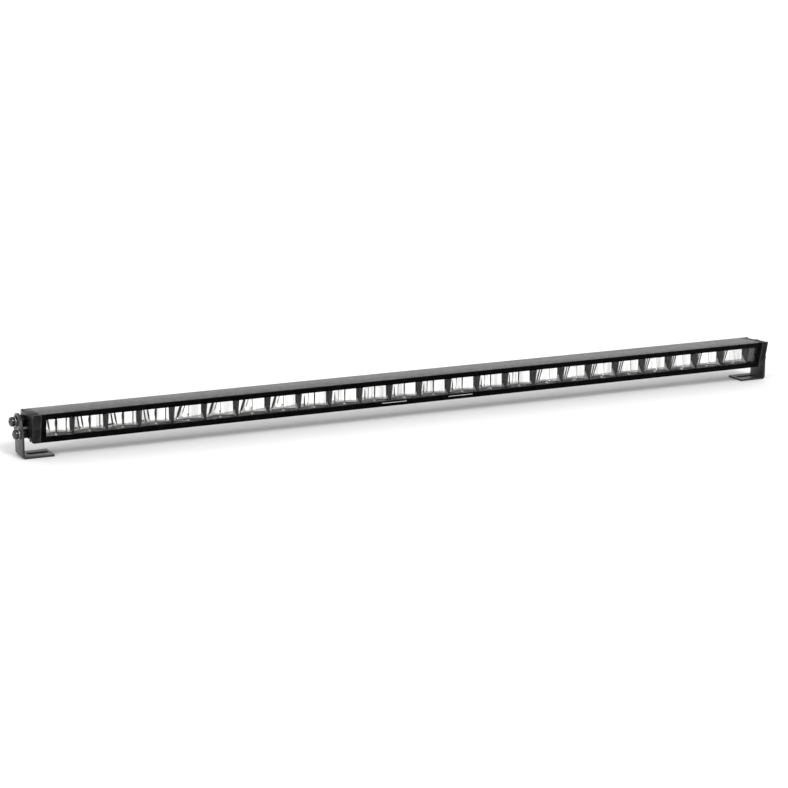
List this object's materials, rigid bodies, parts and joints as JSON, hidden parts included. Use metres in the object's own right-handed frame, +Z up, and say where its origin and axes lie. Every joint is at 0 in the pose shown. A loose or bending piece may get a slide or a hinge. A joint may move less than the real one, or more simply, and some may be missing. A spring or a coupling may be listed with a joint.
{
  "type": "led light bar",
  "caption": "Slim single-row LED light bar with a clear forward-leaning front, held by two slotted end brackets in which it tilts.",
  "frame": {"origin": "midway between the two bracket feet, on the surface they stand on", "axes": "+X along the bar, +Y to its rear, +Z up; the lens faces -Y"},
  "size_m": [1.2942, 0.082, 0.068],
  "materials": {
    "black_housing": "satin black anodised extrusion",
    "black_bezel": "gloss black moulding",
    "pale_line": "pale grey inlay",
    "clear_lens": "clear hard-coated polycarbonate",
    "seal_rubber": "soft black silicone",
    "bright_reflector": "vacuum-metallised bright",
    "led_board": "dark grey solder mask",
    "led": "phosphor under a clear dome",
    "circuit_board": "green solder mask",
    "component_black": "moulded component bodies",
    "dark_blank": "dark grey moulding",
    "cast_cap": "black powder-coated casting",
    "black_steel": "satin black powder coat",
    "black_bolt": "black oxide",
    "bright_steel": "zinc plated",
    "nylon": "black nylon",
    "membrane": "white vent membrane"
  },
  "bodies": {
    "brackets": {"left_bracket": "black_steel", "right_bracket": "black_steel"},
    "light": {"housing": "black_housing", "bezel_top_rail": "black_bezel", "bezel_bottom_rail": "black_bezel", "bezel_left_end": "black_bezel", "bezel_right_end": "black_bezel", "bezel_lines": "pale_line", "lens": "clear_lens", "lens_seal": "seal_rubber", "leds": "led", "board_screws": "bright_steel", "end_blank": "dark_blank", "driver_board": "circuit_board", "driver_components": "component_black", "gland_body": "nylon", "gland_nut": "nylon", "gland_lock_nut": "nylon", "gland_seal": "seal_rubber", "gland_ring": "seal_rubber", "vent_plug": "nylon", "vent_membrane": "membrane", "vent_ring": "seal_rubber", "reflector_1": "bright_reflector", "led_board_1": "led_board", "reflector_2": "bright_reflector", "led_board_2": "led_board", "reflector_3": "bright_reflector", "led_board_3": "led_board", "reflector_4": "bright_reflector", "led_board_4": "led_board", "reflector_5": "bright_reflector", "led_board_5": "led_board", "reflector_6": "bright_reflector", "led_board_6": "led_board", "left_cap_gasket": "seal_rubber", "left_end_cap": "cast_cap", "left_cap_screws": "black_bolt", "left_flat_washers": "bright_steel", "left_spring_washers": "bright_steel", "left_nylon_rings": "nylon", "left_thread_inserts": "bright_steel", "left_pivot_bolt": "black_bolt", "left_lock_bolt": "black_bolt", "right_cap_gasket": "seal_rubber", "right_end_cap": "cast_cap", "right_cap_screws": "black_bolt", "right_flat_washers": "bright_steel", "right_spring_washers": "bright_steel", "right_nylon_rings": "nylon", "right_thread_inserts": "bright_steel", "right_pivot_bolt": "black_bolt", "right_lock_bolt": "black_bolt"}
  },
  "joints": [
    {"name": "tilt", "type": "hinge", "parent": "brackets", "child": "light", "pos_m": [0, -0.003, 0.034], "axis": [1, 0, 0], "range_deg": [-18, 18]}
  ]
}
